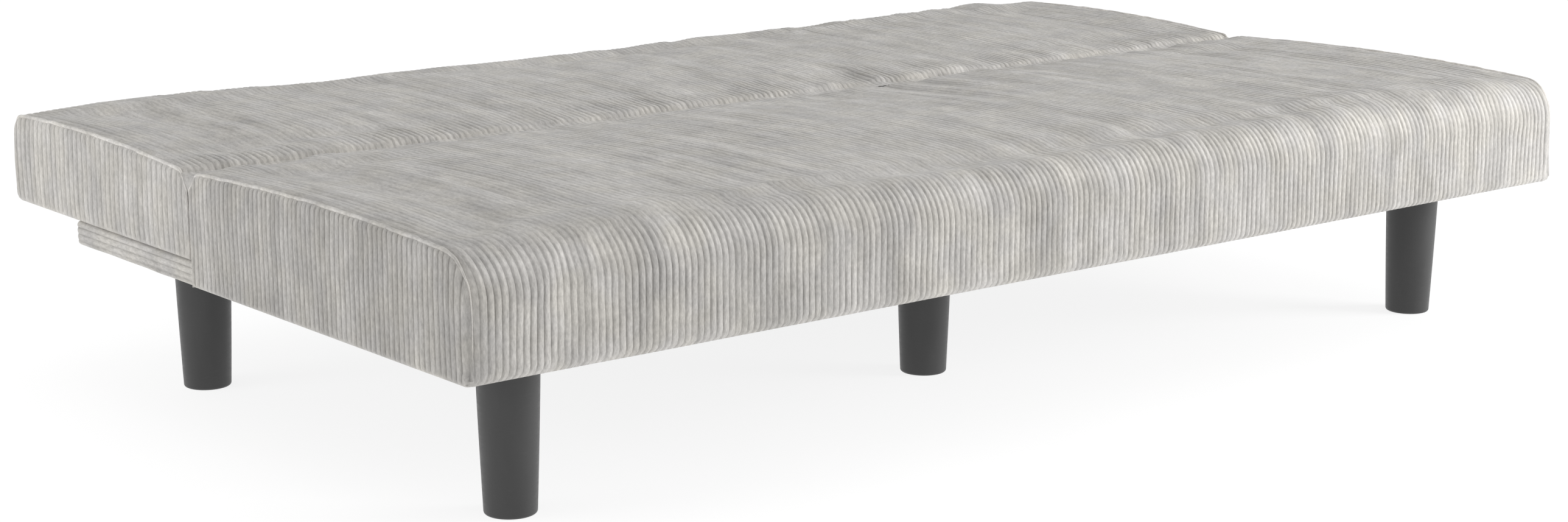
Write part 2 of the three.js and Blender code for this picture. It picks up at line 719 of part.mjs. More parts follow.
// The plate fixed to the back's end board: an arm from the eye to two studs, and the toothed sector.
function backPlate() {
  const holes = BACK_STUDS.map((centre) => bar(centre, STUD_HOLE_RADIUS, PLATE_BORE_X, BORE_SIDES));
  const eye = bar(hingeCentre, PIN_RADIUS + RUNNING_CLEARANCE, PLATE_BORE_X, PIN_SIDES);
  const arm = alongX(stringRound(BACK_ARM_CIRCLES), ...BACK_PLATE_X);
  return cut(joined(arm, toothedSector()), eye, ...holes);
}

function hingePin() {
  const shankX = [PIN_HEADS_X[0][0], PIN_HEADS_X[1][1]];
  const heads = PIN_HEADS_X.map((headX) => bar(hingeCentre, PIN_HEAD_RADIUS, headX));
  return joined(bar(hingeCentre, PIN_RADIUS, shankX, PIN_SIDES), ...heads);
}

// Two studs on one strap, pushed through the timber and the plate.
function studs(strapX, centres, studX) {
  const [first, last] = centres;
  const strapY = [first[0] - STUD_MARGIN, last[0] + STUD_MARGIN];
  const strap = box(strapX, strapY, [first[1] - STRAP_HALF_HEIGHT, first[1] + STRAP_HALF_HEIGHT]);
  return joined(strap, ...centres.map((centre) => bar(centre, STUD_RADIUS, studX, BORE_SIDES)));
}

// A lever whose tooth points up at the sector's rim. At rest the tooth is clear of the rim.
function pawl() {
  const lever = alongX(stringRound(PAWL_CIRCLES), ...PAWL_X);
  const tooth = alongX(PAWL_TOOTH.map(([y, z]) => new THREE.Vector2(y, z)), ...PAWL_X);
  const bore = bar(PAWL_PIVOT, PAWL_PIVOT_RADIUS + RUNNING_CLEARANCE, PAWL_BORE_X);
  return cut(joined(lever, tooth), bore);
}

function pawlSpring() {
  class Helix extends THREE.Curve {
    getPoint(t) {
      const angle = 2 * Math.PI * SPRING_TURNS * t;
      return new THREE.Vector3(
        SPRING_X + SPRING_RADIUS * Math.cos(angle),
        SPRING_Y + SPRING_RADIUS * Math.sin(angle),
        THREE.MathUtils.lerp(SPRING_Z[0] + SPRING_WIRE, SPRING_Z[1] - SPRING_WIRE, t),
      );
    }
  }
  const wire = new THREE.Shape().absarc(0, 0, SPRING_WIRE, 0, 2 * Math.PI);
  const settings = { steps: SPRING_TURNS * 10, curveSegments: 3, extrudePath: new Helix() };
  return new THREE.ExtrudeGeometry(wire, settings);
}

// One end's hinge. The left end is the right one mirrored.
function hinge(place, mirror) {
  const set = group(
    piece(`hinge_block_${place}`, hingeBlock(), TIMBER),
    piece(`hinge_seat_plate_${place}`, seatPlate(), STEEL),
    piece(`hinge_seat_studs_${place}`, studs(STRAP_SEAT_X, SEAT_STUDS, SEAT_STUD_X), STEEL),
    piece(`hinge_back_plate_${place}`, backPlate(), STEEL),
    piece(`hinge_back_studs_${place}`, studs(STRAP_BACK_X, BACK_STUDS, BACK_STUD_X), STEEL),
    piece(`hinge_pin_${place}`, hingePin(), STEEL),
    piece(`pawl_${place}`, pawl(), STEEL),
    piece(`pawl_spring_${place}`, pawlSpring(), STEEL),
    piece(`back_end_board_${place}`, backEndBoard(), TIMBER),
  );
  set.scale.x = mirror;
  return set;
}

const sofaBed = group(...legs(), baseFrame(), seat(), back(), hinge("left", -1), hinge("right", 1));

export default sofaBed;
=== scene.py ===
"""The looks of the click-clack sofa bed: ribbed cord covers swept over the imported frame, moulded legs, and a
procedural material for every piece. Metres, in the frame's own axes."""

import json
import math

import bpy
import numpy as np
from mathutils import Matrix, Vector
from mathutils.bvhtree import BVHTree


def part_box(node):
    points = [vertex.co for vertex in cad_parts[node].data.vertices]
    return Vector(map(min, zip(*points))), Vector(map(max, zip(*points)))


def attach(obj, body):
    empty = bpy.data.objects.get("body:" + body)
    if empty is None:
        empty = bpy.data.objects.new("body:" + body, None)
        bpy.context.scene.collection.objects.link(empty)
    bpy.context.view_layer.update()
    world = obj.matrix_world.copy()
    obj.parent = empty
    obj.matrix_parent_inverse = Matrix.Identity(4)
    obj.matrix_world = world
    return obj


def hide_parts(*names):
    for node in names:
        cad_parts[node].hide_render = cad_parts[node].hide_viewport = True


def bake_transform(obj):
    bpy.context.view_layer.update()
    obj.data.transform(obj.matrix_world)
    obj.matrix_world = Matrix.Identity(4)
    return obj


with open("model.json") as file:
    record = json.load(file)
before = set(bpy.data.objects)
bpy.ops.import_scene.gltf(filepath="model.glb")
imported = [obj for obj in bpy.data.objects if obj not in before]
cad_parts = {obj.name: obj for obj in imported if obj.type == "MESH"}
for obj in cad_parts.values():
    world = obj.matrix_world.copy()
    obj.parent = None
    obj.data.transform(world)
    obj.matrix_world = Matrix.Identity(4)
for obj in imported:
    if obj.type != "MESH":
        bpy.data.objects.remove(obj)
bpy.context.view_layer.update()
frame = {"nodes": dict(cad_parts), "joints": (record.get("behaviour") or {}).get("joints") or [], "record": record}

# ---- Driving sizes ------------------------------------------------------------------------------------------

# Camera
CAMERA_PLACE = (-2.4478, -2.9726, 0.9606)
CAMERA_YAW = math.radians(38.90)
CAMERA_PITCH = math.radians(12.50)
CAMERA_LENS = 66.73
CAMERA_SENSOR = 36

# Cord fabric. A rib has six mesh columns: their places across it, and each one's share of its height.
RIB_PITCH = 0.0087
SEAT_END_RIB_PITCH = 0.0098
BACK_END_RIB_PITCH = SEAT_END_RIB_PITCH * 1.25
LEDGE_RIB_PITCH = 0.0080
RIB_HEIGHT = 0.0016
SEAT_END_RIB_HEIGHT = RIB_HEIGHT * 0.95
BACK_END_RIB_HEIGHT = RIB_HEIGHT * 0.85
LEDGE_RIB_HEIGHT = RIB_HEIGHT * 0.7
RIB_PHASES = (0.0, 0.14, 0.32, 0.5, 0.68, 0.86)
RIB_RISES = (0.0, 0.60, 0.93, 1.0, 0.93, 0.60)
TOP_CRUSH = 0.82

# Cushion sections. Distances run from the hinge plane, and a crest is its distance and its height.
CREASE_GAP = 0.0005
LIP_RISE = 0.0205
SEAT_LIP_SLOPE = math.radians(36)
BACK_LIP_SLOPE = math.radians(41)
SEAT_LIP_RADIUS = 0.020
BACK_LIP_RADIUS = 0.013
SEAT_CREST = (0.300, 0.3385)
BACK_CREST = (0.290, 0.3405)
SEAT_TOP_RADIUS = 0.054
BACK_TOP_RADIUS = 0.027
SEAT_BOTTOM_RADIUS = 0.014
BACK_BOTTOM_RADIUS = 0.015
SEAT_SAG = 0.0016
CROWN_STEPS = 12
CROWN_CLEAR = 1.35
LIP_CLEAR = 0.02
WALL_TOP_DROP = 0.004
WALL_TOP_RADIUS = 0.008
WALL_BOTTOM_RADIUS = 0.006
WALL_HEM = 0.020
LINING_CLEARANCE = 0.0008
LEDGE_CLEARANCE = 0.0006
MAIN_HEM = 0.028
SEAT_END_HEM = 0.020
BACK_END_HEM = 0.022
RUN_STEP = 0.0165
ARC_STEP = 0.0065

# How far a cover rolls over an end before its seam, and how the seams sit
TOP_ROLL = 0.010
SEAT_FAR_ROLL = 0.021
BACK_FAR_ROLL = 0.011
SEAT_BOTTOM_ROLL = 0.006
BACK_BOTTOM_ROLL = 0.0035
CREASE_ROLL = 0.0055
WALL_ROLL = 0.0013
SEAM_ANGLE = math.radians(38)
END_INSET = 0.0028
FAR_INSET = 0.0010
FLANGE = 0.007
SEAM_DIP = 0.0012
SEAM_PUCKER = 0.0012

# Welts: their sunk share is the part of the radius that the far face's seam hides
WELT_RADIUS = 0.0023
WELT_STEP = 0.004
WELT_SIDES = 10
WELT_SUNK_DEPTH = 0.0009
WELT_SUNK_SHARE = 0.62

# The web at the bottom of the crease
GUSSET_HALF_WIDTH = 0.0165
GUSSET_MIDDLE = 0.0012
GUSSET_RISE = 0.0150
GUSSET_SAG = 0.0024
GUSSET_ROWS = 11

# Cloth simulation of a cushion: how it is meshed and held, and how far its cover may swell
SIM_INSET = 0.006
SIM_COLUMNS = 40
SIM_VOXEL = 0.011
SIM_HELD_BOTTOM = 0.012
SIM_HELD_HINGE = 0.010
SIM_HELD_SEAM = 0.012
SIM_FRAMES = 20
SIM_REACH = 0.020
PROBE_REACH = 0.03
PROBE_INSET = 0.02
PROBES = 150
PROBES_AT_END = 15
SWELL_LIMITS = (-0.007, 0.005)

# Ledge and legs
LEDGE_INSET = 0.0016
LEDGE_CORNER = 0.010
LEDGE_TOP_EDGE = 0.011
LEG_TAPER = 0.0064
LEG_BOW = 0.0004
LEG_SIDES = 96
FOOT_ROUND = 0.0035
GLIDE_RADIUS = 0.018
GLIDE_DEPTH = 0.0006
GLIDE_EDGE = 0.0195

# Noise layers: size, cell across the ribs, cell along them, seed
RIB_WANDER = ((0.0007, 0.07, 0.09, 3), (0.0003, 0.02, 0.03, 4))
FILLING = ((0.0016, 0.16, 0.22, 21), (0.0006, 0.05, 0.12, 22))
RIDGES = ((1.0, 0.052, 0.42, 26), (1.0, 0.031, 0.34, 23), (0.6, 0.017, 0.26, 24))
RIDGE_HEIGHT = 0.0016
TUCKS = ((0.0022, 0.020, 0.4, 31), (0.0018, 0.055, 0.4, 32))

hinge = Vector(next(j for j in frame["joints"] if j["name"] == "back_recline")["pos_m"])
END_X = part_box("seat_cover")[1].x - END_INSET


# ---- Camera -------------------------------------------------------------------------------------------------

camera = bpy.data.cameras.new("camera")
camera.lens = CAMERA_LENS
camera.sensor_width = CAMERA_SENSOR
holder = bpy.data.objects.new("camera", camera)
holder.location = CAMERA_PLACE
holder.rotation_euler = (math.pi / 2 - CAMERA_PITCH, 0, -CAMERA_YAW)
bpy.context.scene.collection.objects.link(holder)
bpy.context.scene.camera = holder


# ---- Noise and ramps ----------------------------------------------------------------------------------------

NOISE_SIZE = 256


def soft_noise(a, b, seed):
    """Smooth noise from -1 to 1 over two arrays of coordinates, one cell to the unit."""
    table = np.random.RandomState(seed).uniform(-1, 1, (NOISE_SIZE, NOISE_SIZE))
    a, b = np.broadcast_arrays(a, b)
    ia, ib = np.floor(a).astype(int), np.floor(b).astype(int)
    fa, fb = a - ia, b - ib
    fa, fb = fa * fa * (3 - 2 * fa), fb * fb * (3 - 2 * fb)
    at = lambda p, q: table[p % NOISE_SIZE, q % NOISE_SIZE]
    low = at(ia, ib) * (1 - fa) + at(ia + 1, ib) * fa
    high = at(ia, ib + 1) * (1 - fa) + at(ia + 1, ib + 1) * fa
    return low * (1 - fb) + high * fb


def layered_noise(layers, a, b):
    """The sum of some noise layers, each of them (size, cell along a, cell along b, seed)."""
    return sum(size * soft_noise(a / cell_a, b / cell_b, seed) for size, cell_a, cell_b, seed in layers)


def rising(value, start, run):
    """0 up to start, then rising to 1 over run."""
    return np.clip((value - start) / run, 0, 1)


def falling(value, end, run):
    """1 at first, then falling to 0 at end over run."""
    return np.clip((end - value) / run, 0, 1)


# ---- Mesh helpers -------------------------------------------------------------------------------------------

def mesh_object(name, points, faces, groove=None):
    """A smooth-shaded mesh object. faces is a list of any polygons, or an array of equal ones. The optional shading
    values become a point attribute that paints light and shade on the cord: near 1 in the valley between two ribs,
    painted shade, and low on a rib's top, painted highlight."""
    if isinstance(faces, list):
        sizes = np.array([len(f) for f in faces])
        corners = np.concatenate([np.asarray(f) for f in faces])
    else:
        sizes = np.full(len(faces), faces.shape[1])
        corners = faces.ravel()
    mesh = bpy.data.meshes.new(name)
    mesh.vertices.add(len(points))
    mesh.vertices.foreach_set("co", np.asarray(points, np.float32).ravel())
    mesh.loops.add(len(corners))
    mesh.loops.foreach_set("vertex_index", corners.astype(np.int32))
    mesh.polygons.add(len(sizes))
    mesh.polygons.foreach_set("loop_start", np.concatenate([[0], np.cumsum(sizes)[:-1]]).astype(np.int32))
    mesh.polygons.foreach_set("use_smooth", np.ones(len(sizes), bool))
    mesh.update(calc_edges=True)
    mesh.validate()
    # The shading values are stored as painted shade and highlight for the cord's colour.
    if groove is not None:
        attribute = mesh.attributes.new("groove", "FLOAT", "POINT")
        attribute.data.foreach_set("value", np.asarray(groove, np.float32).ravel())
    made = bpy.data.objects.new(name, mesh)
    bpy.context.scene.collection.objects.link(made)
    return made


def grid_faces(rows, columns, flip=False, closed_rows=False):
    """Quads over a grid of points stored row by row."""
    last = rows if closed_rows else rows - 1
    i, j = np.meshgrid(np.arange(last), np.arange(columns - 1), indexing="ij")
    below = i * columns + j
    above = ((i + 1) % rows) * columns + j
    quads = np.stack([below, below + 1, above + 1, above], -1).reshape(-1, 4)
    return quads[:, ::-1] if flip else quads


def ring_faces(rings, sides):
    """Quads between closed rings of points, stored ring by ring."""
    return [
        [i * sides + k, i * sides + (k + 1) % sides, (i + 1) * sides + (k + 1) % sides, (i + 1) * sides + k]
        for i in range(rings - 1)
        for k in range(sides)
    ]


def rounded_path(corners, run_step, arc_step):
    """An open path through corners (a, b, radius), with an arc at each corner that has a radius."""
    nearly_straight = math.radians(89)
    points = [np.array(corners[0][:2])]
    for before, corner, after in zip(corners, corners[1:], corners[2:]):
        here = np.array(corner[:2])
        back = np.array(before[:2]) - here
        ahead = np.array(after[:2]) - here
        back /= np.linalg.norm(back)
        ahead /= np.linalg.norm(ahead)
        radius = corner[2]
        half = math.acos(max(-1.0, min(1.0, float(back @ ahead)))) / 2
        if radius == 0 or half > nearly_straight:
            points.append(here)
            continue
        middle = back + ahead
        centre = here + middle / np.linalg.norm(middle) * radius / math.sin(half)
        arm = here + back * radius / math.tan(half) - centre
        turn = (math.pi - 2 * half) * (1 if back[0] * ahead[1] - back[1] * ahead[0] < 0 else -1)
        steps = max(3, int(abs(turn) * radius / arc_step))
        for k in range(steps + 1):
            c, s = math.cos(turn * k / steps), math.sin(turn * k / steps)
            points.append(centre + np.array([c * arm[0] - s * arm[1], s * arm[0] + c * arm[1]]))
    points.append(np.array(corners[-1][:2]))
    filled = [points[0]]
    for a, b in zip(points, points[1:]):
        pieces = max(1, int(math.ceil(np.linalg.norm(b - a) / run_step)))
        filled.extend(a + (b - a) * k / pieces for k in range(1, pieces + 1))
    return np.array(filled)


def path_normals(path, side):
    """Unit normals of an open path: on its right for side 1 and on its left for side -1."""
    along = np.gradient(path, axis=0)
    along /= np.linalg.norm(along, axis=1)[:, None]
    return side * np.stack([along[:, 1], -along[:, 0]], 1)


def path_lengths(path):
    """The distance along a path to each of its points."""
    return np.concatenate([[0], np.cumsum(np.linalg.norm(np.diff(path, axis=0), axis=1))])


def rib_columns(start, end, pitch):
    """Mesh columns across a ribbed panel, and how far up its rib each one is. Both edges are doubled, so that the
    outermost columns can be turned in."""
    ribs = int((end - start) / pitch)
    places = (np.arange(ribs)[:, None] + np.array(RIB_PHASES)[None, :]).ravel() * (end - start) / ribs + start
    rise = np.tile(RIB_RISES, ribs)
    return np.concatenate([[start], places, [end, end]]), np.concatenate([[0.0], rise, [0.0, 0.0]])


# ---- Materials ----------------------------------------------------------------------------------------------

def new_material(name, roughness, **constants):
    """A node material with its Principled shader, and a helper that adds a node and sets its inputs."""
    material = bpy.data.materials.new(name)
    material.use_nodes = True
    nodes, links = material.node_tree.nodes, material.node_tree.links
    shader = nodes["Principled BSDF"]
    shader.inputs["Roughness"].default_value = roughness
    for socket, value in constants.items():
        shader.inputs[socket.replace("_", " ")].default_value = value

    def add(kind, settings=None, **inputs):
        node = nodes.new(kind)
        for key, value in (settings or {}).items():
            setattr(node, key, value)
        for key, value in inputs.items():
            socket = node.inputs[int(key[1:])] if key[1:].isdigit() else node.inputs[key.replace("_", " ")]
            if isinstance(value, bpy.types.NodeSocket):
                links.new(value, socket)
            else:
                socket.default_value = value
        return node

    return material, shader, add, links


def scaled_place(add, scale):
    """The object's own coordinates, stretched by a scale for each axis."""
    place = add("ShaderNodeTexCoord").outputs["Object"]
    return add("ShaderNodeMapping", None, Vector=place, Scale=scale).outputs["Vector"]


def noise(add, scale, detail, **inputs):
    """Noise over the object's own coordinates, with its cells to the metre for each axis."""
    place = scaled_place(add, scale)
    return add("ShaderNodeTexNoise", None, Vector=place, Scale=1.0, Detail=detail, **inputs).outputs["Fac"]


def cells(add, scale, **inputs):
    """The distance to the nearest of some scattered points, with so many to the metre."""
    place = scaled_place(add, (scale, scale, scale))
    return add("ShaderNodeTexVoronoi", None, Vector=place, Scale=1.0, **inputs).outputs["Distance"]


def even(value):
    """The same value for red, green and blue."""
    return (value, value, value)


def ramp(add, factor, stops):
    """A colour ramp with (position, colour) stops."""
    node = add("ShaderNodeValToRGB", None, Fac=factor)
    elements = node.color_ramp.elements
    while len(elements) < len(stops):
        elements.new(0.5)
    for element, (position, colour) in zip(elements, stops):
        element.position = position
        element.color = (*colour, 1)
    return node.outputs["Color"]


def multiplied(add, a, b):
    """The product of two colours."""
    return add("ShaderNodeMix", {"data_type": "RGBA", "blend_type": "MULTIPLY"}, _0=1.0, _6=a, _7=b).outputs[2]


def bump(add, links, shader, height, strength, distance):
    """Lets a height disturb the shader's normal."""
    node = add("ShaderNodeBump", None, Height=height, Strength=strength, Distance=distance)
    links.new(node.outputs["Normal"], shader.inputs["Normal"])


CORD_WARMTH = 0.033


def cord_grey(level):
    """The cord's grey at a level, a little warm."""
    return (level * (1 + CORD_WARMTH), level, level * (1 - 1.6 * CORD_WARMTH))


def cord_material(name, run, level):
    """Chenille cord. run is the axes that the ribs run along: flecks and streaks are drawn out along them. Its
    colour also carries painted shade in the rib grooves and painted highlight on rib tops, lips and top edges, read
    from the mesh's shading attribute.
    """
    material, shader, add, links = new_material(
        name, 0.93, Specular_IOR_Level=0.12, Sheen_Weight=0.22, Sheen_Roughness=0.45
    )
    drawn = lambda across, along: tuple(along if axis in run else across for axis in "xyz")
    fleck = noise(add, drawn(430, 150), 3.0, Roughness=0.65)
    tuft = noise(add, drawn(115, 26), 2.0, Roughness=0.6)
    streak = noise(add, drawn(34, 3.2), 3.0, Roughness=0.55)
    patch = noise(add, even(14), 4.0, Roughness=0.62)
    tint = noise(add, even(21), 1.0)
    # The mesh's painted shade and highlight
    groove = add("ShaderNodeAttribute", {"attribute_name": "groove"}).outputs["Fac"]

    yarn = [(0.33, cord_grey(level * 0.86)), (0.5, cord_grey(level)), (0.67, cord_grey(level * 1.15))]
    # Painted shading: rib tops and highlighted places up to a third lighter, grooves darkened to about half.
    shade = [(0.0, even(1.34)), (0.25, even(1.09)), (0.55, even(0.98)), (1.0, (0.54, 0.535, 0.527))]
    colour = ramp(add, fleck, yarn)
    for factor, stops in (
        (tuft, [(0.34, even(0.91)), (0.66, even(1.08))]),
        (streak, [(0.34, even(0.885)), (0.66, even(1.085))]),
        (patch, [(0.35, (0.905, 0.905, 0.907)), (0.65, (1.075, 1.075, 1.072))]),
        (tint, [(0.38, (1.006, 1.0, 0.985)), (0.62, (0.996, 0.998, 1.012))]),
        (groove, shade),
    ):
        colour = multiplied(add, colour, ramp(add, factor, stops))
    links.new(colour, shader.inputs["Base Color"])
    relief = add("ShaderNodeMath", {"operation": "ADD"}, _0=fleck, _1=tuft).outputs[0]
    bump(add, links, shader, relief, 0.4, 0.0007)
    return material


def timber_material(name, light, dark, run, roughness=0.62):
    """Planed timber or plywood, with its grain drawn out along one axis."""
    material, shader, add, links = new_material(name, roughness, Specular_IOR_Level=0.3)
    drawn = tuple(2.2 if axis == run else 26 for axis in "xyz")
    grain = noise(add, drawn, 6.0, Roughness=0.62, Distortion=0.8)
    pores = noise(add, tuple(v * 14 for v in drawn), 2.0)
    rings = ramp(add, grain, [(0.36, dark), (0.52, light), (0.66, dark)])
    fine = ramp(add, pores, [(0.4, (0.86, 0.84, 0.82)), (0.6, even(1.05))])
    links.new(multiplied(add, rings, fine), shader.inputs["Base Color"])
    bump(add, links, shader, pores, 0.3, 0.0004)
    return material


def steel_material():
    """Zinc-plated steel: brushed, with faint spangle."""
    material, shader, add, links = new_material("zinc_plated_steel", 0.38, Metallic=0.95)
    brushed = noise(add, (90, 900, 140), 3.0)
    spangle = cells(add, 160)
    base = ramp(add, brushed, [(0.3, (0.42, 0.43, 0.44)), (0.7, (0.56, 0.57, 0.58))])
    zinc = ramp(add, spangle, [(0.0, (0.92, 0.93, 0.95)), (0.7, (1.05, 1.04, 1.0))])
    links.new(multiplied(add, base, zinc), shader.inputs["Base Color"])
    rough = add("ShaderNodeMapRange", None, Value=brushed, To_Min=0.28, To_Max=0.5)
    links.new(rough.outputs["Result"], shader.inputs["Roughness"])
    return material


def lining_material():
    """Spun-bonded lining: a dark felt with a close grid of pressed dots."""
    material, shader, add, links = new_material("spunbond_lining", 0.9, Specular_IOR_Level=0.15)
    dots = cells(add, 620, Randomness=0.25)
    fibre = noise(add, even(260), 5.0, Roughness=0.7)
    base = ramp(add, fibre, [(0.3, (0.022, 0.022, 0.024)), (0.7, (0.062, 0.062, 0.065))])
    pressed = ramp(add, dots, [(0.1, even(0.7)), (0.4, even(1.1))])
    links.new(multiplied(add, base, pressed), shader.inputs["Base Color"])
    bump(add, links, shader, dots, 0.4, 0.0004)
    return material


def leg_material():
    """Moulded charcoal plastic with a fine spark-eroded texture, faint flow marks and scuffs."""
    material, shader, add, links = new_material("moulded_leg_plastic", 0.44, Specular_IOR_Level=0.5)
    texture = noise(add, even(1500), 3.0, Roughness=0.6)
    flow = noise(add, (22, 22, 7), 3.0)
    scuff = noise(add, (70, 70, 240), 5.0, Roughness=0.7)
    base = ramp(add, flow, [(0.3, even(0.035)), (0.7, even(0.046))])
    rub = ramp(add, scuff, [(0.55, even(1.0)), (0.78, even(1.22))])
    links.new(multiplied(add, base, rub), shader.inputs["Base Color"])
    rough = add("ShaderNodeMapRange", None, Value=scuff, From_Min=0.3, From_Max=0.8, To_Min=0.36, To_Max=0.52)
    links.new(rough.outputs["Result"], shader.inputs["Roughness"])
    bump(add, links, shader, texture, 0.25, 0.0002)
    return material


CORD_LEVEL = 0.458
TIMBER_COLOURS = ((0.62, 0.42, 0.22), (0.45, 0.27, 0.12))
PLYWOOD_COLOURS = ((0.66, 0.50, 0.30), (0.56, 0.39, 0.21))

main_cord = cord_material("cord_main", "yz", CORD_LEVEL)
# The seat's end panels are darker than the main cover: painted shade.
end_cord_painted_shade = cord_material("cord_end_painted_shade", "z", CORD_LEVEL * 0.93)
# The back's end panels are lighter than the main cover: painted light.
back_end_cord_painted_light = cord_material("cord_back_end_painted_light", "z", CORD_LEVEL * 1.10)
# The ledge's cord is lighter than the main cover: painted light.
ledge_cord_painted_light = cord_material("cord_ledge_painted_light", "xy", CORD_LEVEL * 1.12)
# The welts' cord is lighter than the main cover: painted highlight along the piping.
welt_cord_painted_highlight = cord_material("cord_welt_painted_highlight", "yz", CORD_LEVEL * 1.22)
timber_x = timber_material("timber_x", *TIMBER_COLOURS, "x")
timber_y = timber_material("timber_y", *TIMBER_COLOURS, "y")
plywood = timber_material("plywood", *PLYWOOD_COLOURS, "x", 0.55)
steel = steel_material()
lining = lining_material()
leg_plastic = leg_material()


# ---- Cushions -----------------------------------------------------------------------------------------------

def cushion_path(direction, far, bottom, crest, top_radius, bottom_radius, lip_slope, lip_radius, wall_end):
    """The main cover's path round a cushion: hem, far face, crown, lip, then down the hinge side."""
    lip = CREASE_GAP + LIP_RISE * math.tan(lip_slope)
    lip_z = hinge.z + LIP_RISE
    crown = lambda d: crest[1] - (crest[1] - lip_z) * ((d - crest[0]) / (crest[0] - lip)) ** 2
    corners = [(far - MAIN_HEM, bottom, 0), (far, bottom, bottom_radius), (far, crown(far), top_radius)]
    first, last = far - CROWN_CLEAR * top_radius, lip + LIP_CLEAR
    for k in range(CROWN_STEPS):
        d = first + (last - first) * k / (CROWN_STEPS - 1)
        corners.append((d, crown(d), 0))
    corners.append((lip, lip_z, lip_radius))
    corners.append((CREASE_GAP, hinge.z - WALL_TOP_DROP, WALL_TOP_RADIUS))
    corners.extend(wall_end)
    path = rounded_path([(hinge.y + direction * d, z, r) for d, z, r in corners], RUN_STEP, ARC_STEP)
    return path, path_normals(path, direction)


def painted_shading_value(depth, highlight=0.0):
    """The shading value that the cord reads, painted light and shade: 0 where the painted highlight is strongest, a
    quarter on a rib and 1 in a groove, where the painted shade is darkest.
    """
    return np.clip(0.25 + 0.75 * depth - 0.25 * highlight, 0, 1).ravel()


def roll_radius(path, normals, far_roll, bottom_roll):
    """How far a cover rolls over the end: full on the far face, tighter on top, and tight beside the crease."""
    facing_far = normals[:, 0] ** 2
    facing_up = np.clip(normals[:, 1], 0, 1) ** 2
    facing_down = np.clip(-normals[:, 1], 0, 1) ** 2
    roll = far_roll * facing_far + TOP_ROLL * facing_up + bottom_roll * facing_down
    near = falling(np.abs(path[:, 0] - hinge.y), 0.045, 0.04)
    roll = roll + (CREASE_ROLL - roll) * near
    on_wall = near * falling(path[:, 1], hinge.z + 0.010, 0.015)
    return roll + (WALL_ROLL - roll) * on_wall


def simulated_swell(name, path, normals):
    """Cloth simulation of a coarse copy of the cushion. Returns how far the cover stands off its path, over a grid
    of places along the bed and along the path, less its own average along the bed."""
    ring = path - normals * SIM_INSET
    rows = len(ring)
    xs = np.linspace(-(END_X - SIM_INSET), END_X - SIM_INSET, SIM_COLUMNS)
    points = np.array([(x, y, z) for y, z in ring for x in xs])
    faces = [list(f) for f in grid_faces(rows, SIM_COLUMNS, closed_rows=True)]
    faces.append([i * SIM_COLUMNS for i in range(rows)])
    faces.append([(i + 1) * SIM_COLUMNS - 1 for i in reversed(range(rows))])
    pad = mesh_object(name + "_sim", points, faces)
    bpy.context.view_layer.objects.active = pad
    remesh = pad.modifiers.new("voxels", "REMESH")
    remesh.mode = "VOXEL"
    remesh.voxel_size = SIM_VOXEL
    bpy.ops.object.select_all(action="DESELECT")
    pad.select_set(True)
    bpy.ops.object.modifier_apply(modifier="voxels")

    start = np.array([v.co for v in pad.data.vertices])
    at_bottom = start[:, 2] < float(path[:, 1].min()) + SIM_HELD_BOTTOM
    at_hinge = np.abs(start[:, 1] - hinge.y) < SIM_HELD_HINGE
    at_end = np.abs(np.abs(start[:, 0]) - (END_X - TOP_ROLL)) < SIM_HELD_SEAM
    fixed = np.nonzero(at_bottom | at_hinge | (at_end & (start[:, 2] > hinge.z)))[0]
    held = pad.vertex_groups.new(name="held")
    held.add([int(i) for i in fixed], 1.0, "REPLACE")
    settings = pad.modifiers.new("cloth", "CLOTH").settings
    settings.use_pressure = True
    settings.uniform_pressure_force = 4.0
    settings.effector_weights.gravity = 0
    settings.vertex_group_mass = "held"
    settings.quality = 4
    settings.mass = 0.35
    settings.tension_stiffness = 18
    settings.compression_stiffness = 18
    settings.bending_stiffness = 0.8
    scene = bpy.context.scene
    for number in range(1, SIM_FRAMES + 1):
        scene.frame_set(number)

    evaluated = pad.evaluated_get(bpy.context.evaluated_depsgraph_get())
    shift = np.array([v.co for v in evaluated.data.vertices]) - start
    moved = np.linalg.norm(shift, axis=1)
    shift *= np.minimum(1, SIM_REACH / np.maximum(moved, 1e-9))[:, None]
    polygons = [list(p.vertices) for p in pad.data.polygons]
    tree = BVHTree.FromPolygons([Vector(p) for p in start + shift], polygons)
    probes = np.linspace(-(END_X - PROBE_INSET), END_X - PROBE_INSET, PROBES)
    swell = np.zeros((rows, PROBES))
    for i in range(rows):
        outward = Vector((0, *normals[i]))
        for j, x in enumerate(probes):
            origin = Vector((x, *path[i])) + outward * PROBE_REACH
            hit = tree.ray_cast(origin, -outward, 2 * PROBE_REACH)
            swell[i, j] = PROBE_REACH - hit[3] if hit[0] is not None else 0.0
    bpy.data.objects.remove(pad)
    scene.frame_set(1)
    average = swell[:, PROBES_AT_END:-PROBES_AT_END].mean(axis=1, keepdims=True)
    return probes, np.clip(swell - average, *SWELL_LIMITS)


def swell_at(name, path, normals, u):
    """The simulated swell of a cover at each place u along the bed, for each row of its path."""
    probes, swell = simulated_swell(name, path, normals)
    place = np.clip((u - probes[0]) / (probes[1] - probes[0]), 0, len(probes) - 1.001)
    low = place.astype(int)
    part = place - low
    row = np.arange(len(path))[:, None]
    return swell[row, low] * (1 - part) + swell[row, low + 1] * part


